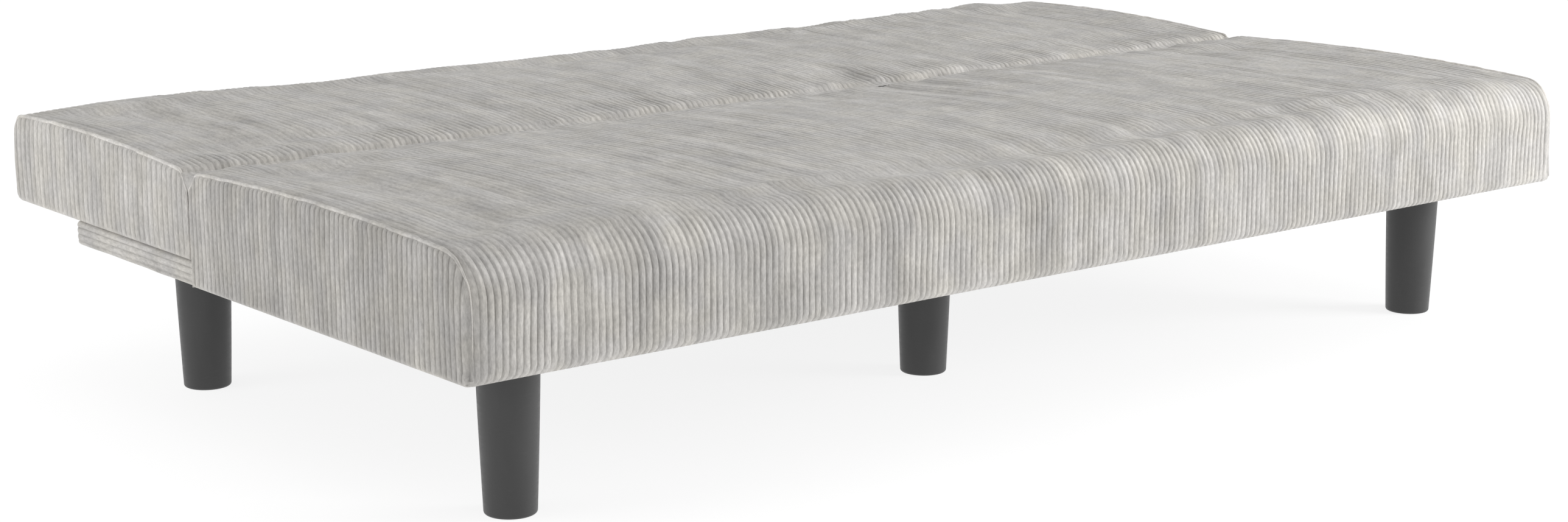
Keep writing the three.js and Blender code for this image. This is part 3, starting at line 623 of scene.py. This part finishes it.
def main_cover(name, path, normals, roll, direction, lip_highlight, rib_ends):
    """The piece of cord that wraps a cushion from its hem to the hinge side, with each rib modelled. Past each end
    seam it turns in by a flange. lip_highlight is how much painted highlight the lip gets, and rib_ends is how far
    from the lip groups of ribs still stand."""
    half_width = END_X - TOP_ROLL + TOP_ROLL * SEAM_ANGLE
    across, rise = rib_columns(-half_width, half_width, RIB_PITCH)
    flange = np.zeros(len(across))
    flange[[0, -1]] = FLANGE

    # s runs along the path and u along the bed, over the rolled ends as far as the seams.
    s = path_lengths(path)[:, None]
    u = across[None, :]
    u = u + layered_noise(RIB_WANDER, u, s) * falling(np.abs(u), half_width, 0.02)
    roll = roll[:, None]
    flat = END_X - roll
    reach = flat + roll * SEAM_ANGLE
    u = u * reach / half_width
    over = np.clip((np.abs(u) - flat) / roll, 0, SEAM_ANGLE)
    x = np.where(over > 0, np.sign(u) * (flat + roll * np.sin(over)), u)
    drop = roll * (1 - np.cos(over)) + flange[None, :]

    ny, nz = normals[:, 0][:, None], normals[:, 1][:, None]
    lying = rising(nz, 0.75, 0.25)
    under = np.clip(-nz, 0, 1)
    from_lip = np.abs(path[:, 0] - hinge.y)[:, None]
    from_seam = (reach - np.abs(u)).clip(0, None)
    to_right = rising(u, -0.1, 0.8)

    # Ribs stand proud on the faces and in groups at the lip, lie crushed on top, and die out at the seams.
    groups = np.clip(0.42 + 0.75 * soft_noise(u / 0.062, 3.5, 13) + 0.45 * soft_noise(u / 0.019, 8.5, 14), 0, 1)
    crushed = lying * rising(from_lip, 0.012 + rib_ends * groups, 0.035)
    worn = 0.5 + 0.5 * soft_noise(u / 0.11, s / 0.16, 11)
    beside_lip = np.exp(-((from_lip / 0.03) ** 2))
    height = RIB_HEIGHT * (1 - crushed * TOP_CRUSH * (0.62 + 0.38 * worn) * (1 - 0.28 * to_right))
    height = height * (1 - 0.8 * beside_lip * (1 - groups))
    height = height * (0.9 + 0.2 * soft_noise(u / 0.03, s / 0.05, 12))
    height = height * rising(from_seam, 0.004, 0.006)
    height = height * (1 - 0.7 * under)
    out = height * rise[None, :] - FAR_INSET * (1 - under)

    # The filling is uneven, and ridges run along the ribs on top.
    out = out + layered_noise(FILLING, u, s) * (1 - under)
    ridged = np.clip(0.55 + 0.55 * to_right + 0.9 * soft_noise(u / 0.25, s / 0.2, 25), 0.12, 1.4)
    out = out + RIDGE_HEIGHT * layered_noise(RIDGES, u, s) * lying * ridged

    # Tucks beside the crease, and the puckers and the dip beside the end seams.
    tuck = np.exp(-np.clip(from_lip - 0.012, 0, None) / 0.035) * lying
    out = out + tuck * layered_noise(TUCKS, u, s)
    pucker = np.exp(-from_seam / 0.016)
    out = out + pucker * SEAM_PUCKER * soft_noise(s / 0.013, np.sign(u) * 7, 33)
    out = out - SEAM_DIP * np.exp(-((from_seam / 0.006) ** 2))

    # The swell fades out beside the end seams, low down and beside the crease.
    from_bottom = (path[:, 1] - path[:, 1].min())[:, None]
    inside = rising(from_seam, 0.02, 0.09) * rising(from_bottom, 0.035, 0.05) * rising(from_lip, 0.03, 0.06)
    out = out + swell_at(name, path, normals, u) * inside

    y = path[:, 0][:, None] + ny * (out - drop)
    z = path[:, 1][:, None] + nz * (out - drop)
    points = np.stack([x, y, z], -1).reshape(-1, 3)

    # Painted highlight at the lip, strongest where groups of ribs stand, and round the top edge; painted shade in
    # the grooves between ribs, less of it where the ribs are crushed or highlighted.
    lip_highlight_share = np.exp(-((from_lip / 0.032) ** 2)) * lip_highlight
    edge_highlight = falling(np.abs(nz - 0.62), 0.42, 0.42) * rising(from_lip, 0.06, 0.03)
    painted_highlight = lip_highlight_share * (0.35 + 0.7 * groups) + edge_highlight
    valley_shade = (1 - rise)[None, :] * np.clip(height / RIB_HEIGHT, 0, 1.1) * (1 - 0.4 * lip_highlight_share) * (1 - 0.22 * edge_highlight)
    faces = grid_faces(len(path), len(across), flip=direction < 0)
    cover = mesh_object(name, points, faces, painted_shading_value(valley_shade, painted_highlight))
    cover.data.materials.append(main_cord)
    return cover


def outline_bounds(outline, y):
    """The lowest and highest z of a closed outline at each y."""
    low, high = np.full(len(y), np.inf), np.full(len(y), -np.inf)
    for p, q in zip(outline, np.roll(outline, -1, axis=0)):
        if abs(p[0] - q[0]) < 1e-9:
            continue
        inside = (y >= min(p[0], q[0])) & (y <= max(p[0], q[0]))
        z = p[1] + (q[1] - p[1]) * (y - p[0]) / (q[0] - p[0])
        low = np.where(inside, np.minimum(low, z), low)
        high = np.where(inside, np.maximum(high, z), high)
    return low, high


def distance_to(outline, y, z):
    """The distance from points to a closed outline, and the index of its nearest segment."""
    best = np.full(y.shape, np.inf)
    nearest = np.zeros(y.shape, int)
    for k, (p, q) in enumerate(zip(outline, np.roll(outline, -1, axis=0))):
        run = q - p
        t = np.clip(((y - p[0]) * run[0] + (z - p[1]) * run[1]) / max(run @ run, 1e-12), 0, 1)
        d = np.hypot(y - p[0] - t * run[0], z - p[1] - t * run[1])
        closer = d < best
        best = np.where(closer, d, best)
        nearest = np.where(closer, k, nearest)
    return best, nearest


def end_outline(path, normals, roll, bottom):
    """A cushion's outline seen from its end, its seam line, and the roll radius at each point."""
    last = np.nonzero(path[:, 1] > bottom + 0.004)[0][-1] + 1
    hem_y, bottom_roll = path[0, 0], roll[0]
    path, normals, roll = path[:last], normals[:last], roll[:last]
    underneath = np.array([(path[-1, 0], bottom), (hem_y, bottom)])
    outline = np.vstack([path, underneath])
    rolls = np.append(roll, [bottom_roll, bottom_roll])
    rolls[last - 1] = WALL_ROLL
    tuck_in = roll * (1 - math.cos(SEAM_ANGLE)) + FAR_INSET + 0.0006
    tuck_in = tuck_in * rising(path[:, 1], bottom, 0.012)
    return outline, np.vstack([path - normals * tuck_in[:, None], underneath]), rolls


def end_panel(name, path, normals, roll, side, material, rib_height, pitch, bottom, hem):
    """The panel that closes a cushion's end, with upright ribs, bulging a little, rolled in to its seams and
    turned under at the bottom."""
    edge_inset, face_inset, rows = 0.0003, 0.0006, 34
    outline, seam, rolls = end_outline(path, normals, roll, bottom)
    columns, rise = rib_columns(seam[:, 0].min() + edge_inset, seam[:, 0].max() - edge_inset, pitch)
    low, high = outline_bounds(seam, columns)
    t = (1 - np.cos(np.linspace(0, math.pi, rows))) / 2
    y = np.repeat(columns[None, :], rows, axis=0)
    z = low[None, :] + (high - low)[None, :] * t[:, None]

    # The face falls away over its roll, bulges inside it, and puckers along its seams.
    d, nearest = distance_to(outline, y, z)
    bend = rolls[nearest]
    lean = np.clip(bend - d, 0, None)
    fall = bend - np.sqrt(np.clip(bend**2 - lean**2, 0, None))
    inner = np.clip(d / 0.012, 0, 1)
    bulge = 0.0014 * np.sin(np.pi * t)[:, None] + 0.0012 * soft_noise(y / 0.07, z / 0.06, 41)
    ribbed = rib_height * rise[None, :] * np.clip(d / 0.006, 0.1, 1)
    pucker = np.exp(-d / 0.012) * SEAM_PUCKER * soft_noise(y / 0.011, z / 0.03, 42)
    pucker = pucker * rising(z, bottom + 0.008, 0.02)
    x = END_X - fall + inner * bulge + ribbed + pucker - face_inset
    y = y + 0.0007 * soft_noise(y / 0.03, z / 0.035, 43) * inner

    # One more row makes the hem, one more the flange at the top, and the edge columns turn in as well.
    x = np.vstack([np.full((1, len(columns)), END_X - roll[0] - hem), x, x[-1:] - FLANGE])
    x[:, [0, -1]] -= FLANGE
    extended = lambda rows_of: np.vstack([rows_of[:1], rows_of, rows_of[-1:]])
    points = np.stack([side * x, extended(y), extended(z)], -1).reshape(-1, 3)
    # Painted shade in the grooves between its ribs, fading out at the panel's edges and weaker for lower ribs.
    inside = rising(extended(d), 0.0015, 0.005)
    groove = painted_shading_value((1 - rise)[None, :] * inside * min(1, rib_height / RIB_HEIGHT))
    panel = mesh_object(name, points, grid_faces(rows + 2, len(columns), flip=side < 0), groove)
    panel.data.materials.append(material)
    return panel


def tube(name, centre, radius, sides):
    """A round bead along a line of points, with closed ends."""
    along = np.gradient(centre, axis=0)
    along /= np.linalg.norm(along, axis=1)[:, None]
    across = np.cross(along, (1.0, 0.0, 0.0))
    across /= np.linalg.norm(across, axis=1)[:, None]
    up = np.cross(across, along)
    angles = np.arange(sides) * 2 * math.pi / sides
    ring = across[:, None, :] * np.cos(angles)[None, :, None] + up[:, None, :] * np.sin(angles)[None, :, None]
    points = (centre[:, None, :] + ring * radius[:, None, None]).reshape(-1, 3)
    rows = len(centre)
    faces = ring_faces(rows, sides)
    faces.append([k for k in reversed(range(sides))])
    faces.append([(rows - 1) * sides + k for k in range(sides)])
    # Every point's shading value of 0.2 paints the bead a little lighter: painted highlight.
    return mesh_object(name, points, faces, np.full(len(points), 0.2))


def welt(name, path, normals, roll, side, low_z):
    """The piped seam between the main cover and an end panel. It sinks into the seam down the far face."""
    keep = path[:, 1] >= low_z
    facing_far = normals[:, 0] ** 2
    sunk = WELT_SUNK_DEPTH * facing_far
    tuck_in = roll * (1 - math.cos(SEAM_ANGLE)) + FAR_INSET - 0.0002 + sunk
    seam = (path - normals * tuck_in[:, None])[keep]
    out = (END_X - roll + roll * math.sin(SEAM_ANGLE) - sunk)[keep]
    lengths = path_lengths(seam)
    places = np.arange(0, lengths[-1], WELT_STEP)
    along_welt = lambda values: np.interp(places, lengths, values)
    x = along_welt(out) + 0.0004 + 0.0008 * soft_noise(places / 0.012, 9.5, 51 + side)
    y = along_welt(seam[:, 0])
    z = along_welt(seam[:, 1]) + 0.0005 * soft_noise(places / 0.016, 4.5, 61 + side)
    radius = WELT_RADIUS * (1 - WELT_SUNK_SHARE * along_welt(facing_far[keep]))
    radius = radius * (1 + 0.16 * soft_noise(places / 0.007, 2.5, 71 + side))
    bead = tube(name, np.stack([side * x, y, z], -1), radius, WELT_SIDES)
    bead.data.materials.append(welt_cord_painted_highlight)
    return bead


SIDES = (("left", -1), ("right", 1))


def cushion(
    label, body, cover_node, foam_node, direction, crest, top_radius, bottom_radius, far_roll, bottom_roll, sag,
    lip_slope, lip_radius, lip_highlight, rib_ends, end_material, end_rib_height, end_rib_pitch, end_hem,
):
    """One cushion: its main cover, both end panels and both welts, riding on its body."""
    low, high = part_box(cover_node)
    far = (high.y - hinge.y) if direction > 0 else (hinge.y - low.y)
    bottom = low.z - sag
    if direction > 0:
        wall_foot = bottom + LINING_CLEARANCE
        wall_end = [(CREASE_GAP, wall_foot, WALL_BOTTOM_RADIUS), (CREASE_GAP + WALL_HEM, wall_foot, 0)]
    else:
        wall_end = [(CREASE_GAP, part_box("ledge_cover")[1].z + LEDGE_CLEARANCE, 0)]
    path, normals = cushion_path(
        direction, far, bottom, crest, top_radius, bottom_radius, lip_slope, lip_radius, wall_end
    )
    roll = roll_radius(path, normals, far_roll, bottom_roll)
    cover = main_cover(f"{label}_cover_main", path, normals, roll, direction, lip_highlight, rib_ends)
    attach(cover, body)
    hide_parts(cover_node, foam_node)
    for place, side in SIDES:
        panel = end_panel(
            f"{label}_end_{place}", path, normals, roll, side, end_material, end_rib_height, end_rib_pitch, bottom,
            end_hem,
        )
        piping = welt(f"{label}_welt_{place}", path, normals, roll, side, bottom + 0.006)
        for piece in (panel, piping):
            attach(piece, body)


# The lip's painted highlight is faint on the seat and strong on the back.
cushion(
    label="seat", body="base", cover_node="seat_cover", foam_node="seat_foam", direction=-1, crest=SEAT_CREST,
    top_radius=SEAT_TOP_RADIUS, bottom_radius=SEAT_BOTTOM_RADIUS, far_roll=SEAT_FAR_ROLL,
    bottom_roll=SEAT_BOTTOM_ROLL, sag=SEAT_SAG, lip_slope=SEAT_LIP_SLOPE, lip_radius=SEAT_LIP_RADIUS,
    lip_highlight=0.15, rib_ends=0.0, end_material=end_cord_painted_shade, end_rib_height=SEAT_END_RIB_HEIGHT,
    end_rib_pitch=SEAT_END_RIB_PITCH, end_hem=SEAT_END_HEM,
)
cushion(
    label="back", body="back", cover_node="back_cover", foam_node="back_foam", direction=1, crest=BACK_CREST,
    top_radius=BACK_TOP_RADIUS, bottom_radius=BACK_BOTTOM_RADIUS, far_roll=BACK_FAR_ROLL,
    bottom_roll=BACK_BOTTOM_ROLL, sag=0.0, lip_slope=BACK_LIP_SLOPE, lip_radius=BACK_LIP_RADIUS,
    lip_highlight=0.9, rib_ends=0.060, end_material=back_end_cord_painted_light, end_rib_height=BACK_END_RIB_HEIGHT,
    end_rib_pitch=BACK_END_RIB_PITCH, end_hem=BACK_END_HEM,
)


def crease_gusset():
    """The web of cord that joins the two cushions at the bottom of the crease. Its edge columns drop and close in,
    so that the ends are shut."""
    half = END_X - 0.0016
    across, rise = rib_columns(-half, half, RIB_PITCH)
    closing = np.zeros(len(across))
    closing[[0, -1]] = 1
    u, v = np.meshgrid(across, np.linspace(-1, 1, GUSSET_ROWS))
    y = hinge.y + GUSSET_MIDDLE * (1 - closing) + GUSSET_HALF_WIDTH * v * (1 - 0.9 * closing)
    pinch = 0.0014 * soft_noise(u / 0.03, v * 0.4, 91) * (1 - closing) + RIB_HEIGHT * 0.35 * rise[None, :]
    z = hinge.z + GUSSET_RISE - GUSSET_SAG * (1 - v**2) + pinch - closing * (GUSSET_RISE + 0.004)
    points = np.stack([u, y, z], -1).reshape(-1, 3)
    # Faint painted shade in its grooves, and painted highlight all over it, so that it renders lighter than the
    # cover's top.
    groove = painted_shading_value((1 - rise) * (1 - closing) * 0.28 * np.ones((GUSSET_ROWS, 1)), 0.5)
    gusset = mesh_object("crease_gusset", points, grid_faces(GUSSET_ROWS, len(across)), groove)
    gusset.data.materials.append(main_cord)
    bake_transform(gusset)


crease_gusset()


# ---- Ledge --------------------------------------------------------------------------------------------------

def ledge_band(low, high):
    """A band of cord with level ribs, round the base's rear part on three sides."""
    left, right, front = low.x + LEDGE_INSET, high.x - LEDGE_INSET, hinge.y - 0.006
    route = rounded_path(
        [(left, front, 0), (left, high.y, LEDGE_CORNER), (right, high.y, LEDGE_CORNER), (right, front, 0)],
        0.012, 0.002,
    )
    outward = path_normals(route, -1)
    section = rounded_path(
        [(-0.020, low.z, 0), (0.0, low.z, 0.006), (0.0, high.z, 0.005), (-0.012, high.z, 0)], 0.00145, 0.0011
    )
    facing = path_normals(section, 1)
    along = path_lengths(route)[:, None]
    round_it = path_lengths(section)[None, :]
    rise = np.interp((round_it / LEDGE_RIB_PITCH) % 1, [*RIB_PHASES, 1.0], [*RIB_RISES, 0.0])
    side_on = np.clip(facing[:, 0], 0, 1)[None, :]
    out = LEDGE_RIB_HEIGHT * rise * side_on
    out = out + 0.0007 * soft_noise(along / 0.045, round_it / 0.02, 81) * side_on
    reach = section[:, 0][None, :] + facing[:, 0][None, :] * out
    x = route[:, 0][:, None] + outward[:, 0][:, None] * reach
    y = route[:, 1][:, None] + outward[:, 1][:, None] * reach
    z = section[:, 1][None, :] + facing[:, 1][None, :] * out
    points = np.stack([x, y, z], -1).reshape(-1, 3)
    # Painted shade in the grooves between its ribs, on the outward faces only.
    groove = painted_shading_value((1 - rise) * 0.8 * side_on + 0 * along)
    band = mesh_object("ledge_band", points, grid_faces(len(route), len(section)), groove)
    band.data.materials.append(ledge_cord_painted_light)
    return band


def ledge_top(low, high):
    """The flat cord on top of the base's rear part."""
    left, right = low.x + LEDGE_TOP_EDGE, high.x - LEDGE_TOP_EDGE
    ribs = int((right - left) / RIB_PITCH)
    across = np.linspace(left, right, ribs * 4 + 1)
    rise = np.append(np.tile([0.0, 0.7, 1.0, 0.7], ribs), 0.0)
    depth = np.linspace(low.y, high.y - LEDGE_TOP_EDGE, 24)
    x, y = np.meshgrid(across, depth)
    z = high.z - 0.0006 + 0.0005 * rise[None, :] + 0.0003 * soft_noise(x / 0.08, y / 0.1, 82)
    points = np.stack([x, y, z], -1).reshape(-1, 3)
    # Painted shade in the grooves between its ribs, at half strength.
    groove = painted_shading_value((1 - rise)[None, :] * np.ones((len(depth), 1)) * 0.5)
    top = mesh_object("ledge_top", points, grid_faces(len(depth), len(across)), groove)
    top.data.materials.append(main_cord)
    return top


def ledge():
    """The cover of the base's rear part."""
    low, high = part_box("ledge_cover")
    band, top = ledge_band(low, high), ledge_top(low, high)
    for piece in (band, top):
        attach(piece, "base")
    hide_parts("ledge_cover")


ledge()


# ---- Legs ---------------------------------------------------------------------------------------------------

def leg(node):
    """A moulded leg: a slightly bowed taper with a rounded foot and a recessed glide ring underneath."""
    low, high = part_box(node)
    centre_x, centre_y = (low.x + high.x) / 2, (low.y + high.y) / 2
    top_radius = (high.x - low.x) / 2
    foot_radius = top_radius - LEG_TAPER
    flat_radius = foot_radius - FOOT_ROUND
    profile = [(GLIDE_RADIUS, GLIDE_DEPTH), (GLIDE_EDGE, 0.0), (flat_radius, 0.0)]
    round_steps, taper_steps = 8, 24
    for k in range(1, round_steps + 1):
        angle = math.pi / 2 * k / round_steps
        profile.append((flat_radius + FOOT_ROUND * math.sin(angle), FOOT_ROUND * (1 - math.cos(angle))))
    for k in range(1, taper_steps + 1):
        t = k / taper_steps
        bow = LEG_BOW * math.sin(math.pi * t)
        profile.append((foot_radius + (top_radius - foot_radius) * t + bow, FOOT_ROUND + (high.z - FOOT_ROUND) * t))
    radius, height = np.array(profile).T[:, :, None]
    angles = np.arange(LEG_SIDES)[None, :] * 2 * math.pi / LEG_SIDES
    x = centre_x + radius * np.cos(angles)
    y = centre_y + radius * np.sin(angles)
    rings = np.stack([x, y, height + 0 * angles], -1).reshape(-1, 3)
    points = np.vstack([rings, [[centre_x, centre_y, GLIDE_DEPTH], [centre_x, centre_y, high.z]]])
    faces = ring_faces(len(profile), LEG_SIDES)
    top_ring, bottom_centre, top_centre = (len(profile) - 1) * LEG_SIDES, len(rings), len(rings) + 1
    for k in range(LEG_SIDES):
        following = (k + 1) % LEG_SIDES
        faces.append([following, k, bottom_centre])
        faces.append([top_ring + k, top_ring + following, top_centre])
    made = mesh_object(node + "_moulded", points, faces)
    made.data.materials.append(leg_plastic)
    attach(made, "base")
    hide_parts(node)


for place in ("front_left", "front_right", "rear_left", "rear_right", "centre"):
    leg("leg_" + place)


# ---- Carried-over nodes -------------------------------------------------------------------------------------

def finish_node(name, material):
    """Gives a CAD node its material."""
    node = frame["nodes"][name]
    node.data.materials.clear()
    node.data.materials.append(material)


ALONG_Y = ("end_rail", "centre_rail", "end_board", "back_slat", "hinge_block")
finishes = {"steel": steel, "lining": lining, "plywood": plywood}
for row in frame["record"]["subparts"]:
    name, slot = row["node"], row["material_slot"]
    if slot in finishes:
        finish_node(name, finishes[slot])
    elif slot == "timber":
        finish_node(name, timber_y if any(word in name for word in ALONG_Y) else timber_x)


# ---- Studio -------------------------------------------------------------------------------------------------

FLOOR_REACH = 40
FLOOR_GLOW = 0.85
SKY_STRENGTH = 0.60


def pale_floor():
    """A wide pale floor with a little light of its own, so that it renders near white."""
    corners = [(FLOOR_REACH * x, FLOOR_REACH * y, 0) for x, y in ((-1, -1), (1, -1), (1, 1), (-1, 1))]
    floor = mesh_object("floor", corners, [[0, 1, 2, 3]])
    pale, shader, add, links = new_material("pale_floor", 0.9, Specular_IOR_Level=0.1, Emission_Strength=FLOOR_GLOW)
    shader.inputs["Emission Color"].default_value = (1, 1, 1, 1)
    cloud = ramp(add, noise(add, even(2), 2.0), [(0.3, even(0.235)), (0.7, even(0.25))])
    links.new(cloud, shader.inputs["Base Color"])
    floor.data.materials.append(pale)


def softbox(name, place, aim, size, power):
    """A rectangular area light that faces a point."""
    light = bpy.data.lights.new(name, "AREA")
    light.shape = "RECTANGLE"
    light.size, light.size_y = size
    light.energy = power
    box = bpy.data.objects.new(name, light)
    box.location = place
    box.rotation_euler = (Vector(aim) - Vector(place)).to_track_quat("-Z", "Y").to_euler()
    bpy.context.scene.collection.objects.link(box)


def studio():
    """The floor, an even white sky and three softboxes."""
    pale_floor()
    world = bpy.data.worlds.new("studio")
    world.use_nodes = True
    sky = world.node_tree.nodes["Background"]
    sky.inputs["Color"].default_value = (1, 1, 1, 1)
    sky.inputs["Strength"].default_value = SKY_STRENGTH
    bpy.context.scene.world = world
    softbox("right_box", place=(2.65, -2.35, 1.0), aim=(0.7, -0.45, 0.25), size=(1.5, 1.1), power=77)
    softbox("left_box", place=(-3.8, 1.0, 1.2), aim=(-0.7, 0.2, 0.25), size=(1.8, 1.3), power=22)
    softbox("top_box", place=(-0.4, 0.6, 4.2), aim=(0, 0, 0.3), size=(3.0, 2.4), power=11)
    bpy.context.scene.view_settings.view_transform = "Standard"


studio()
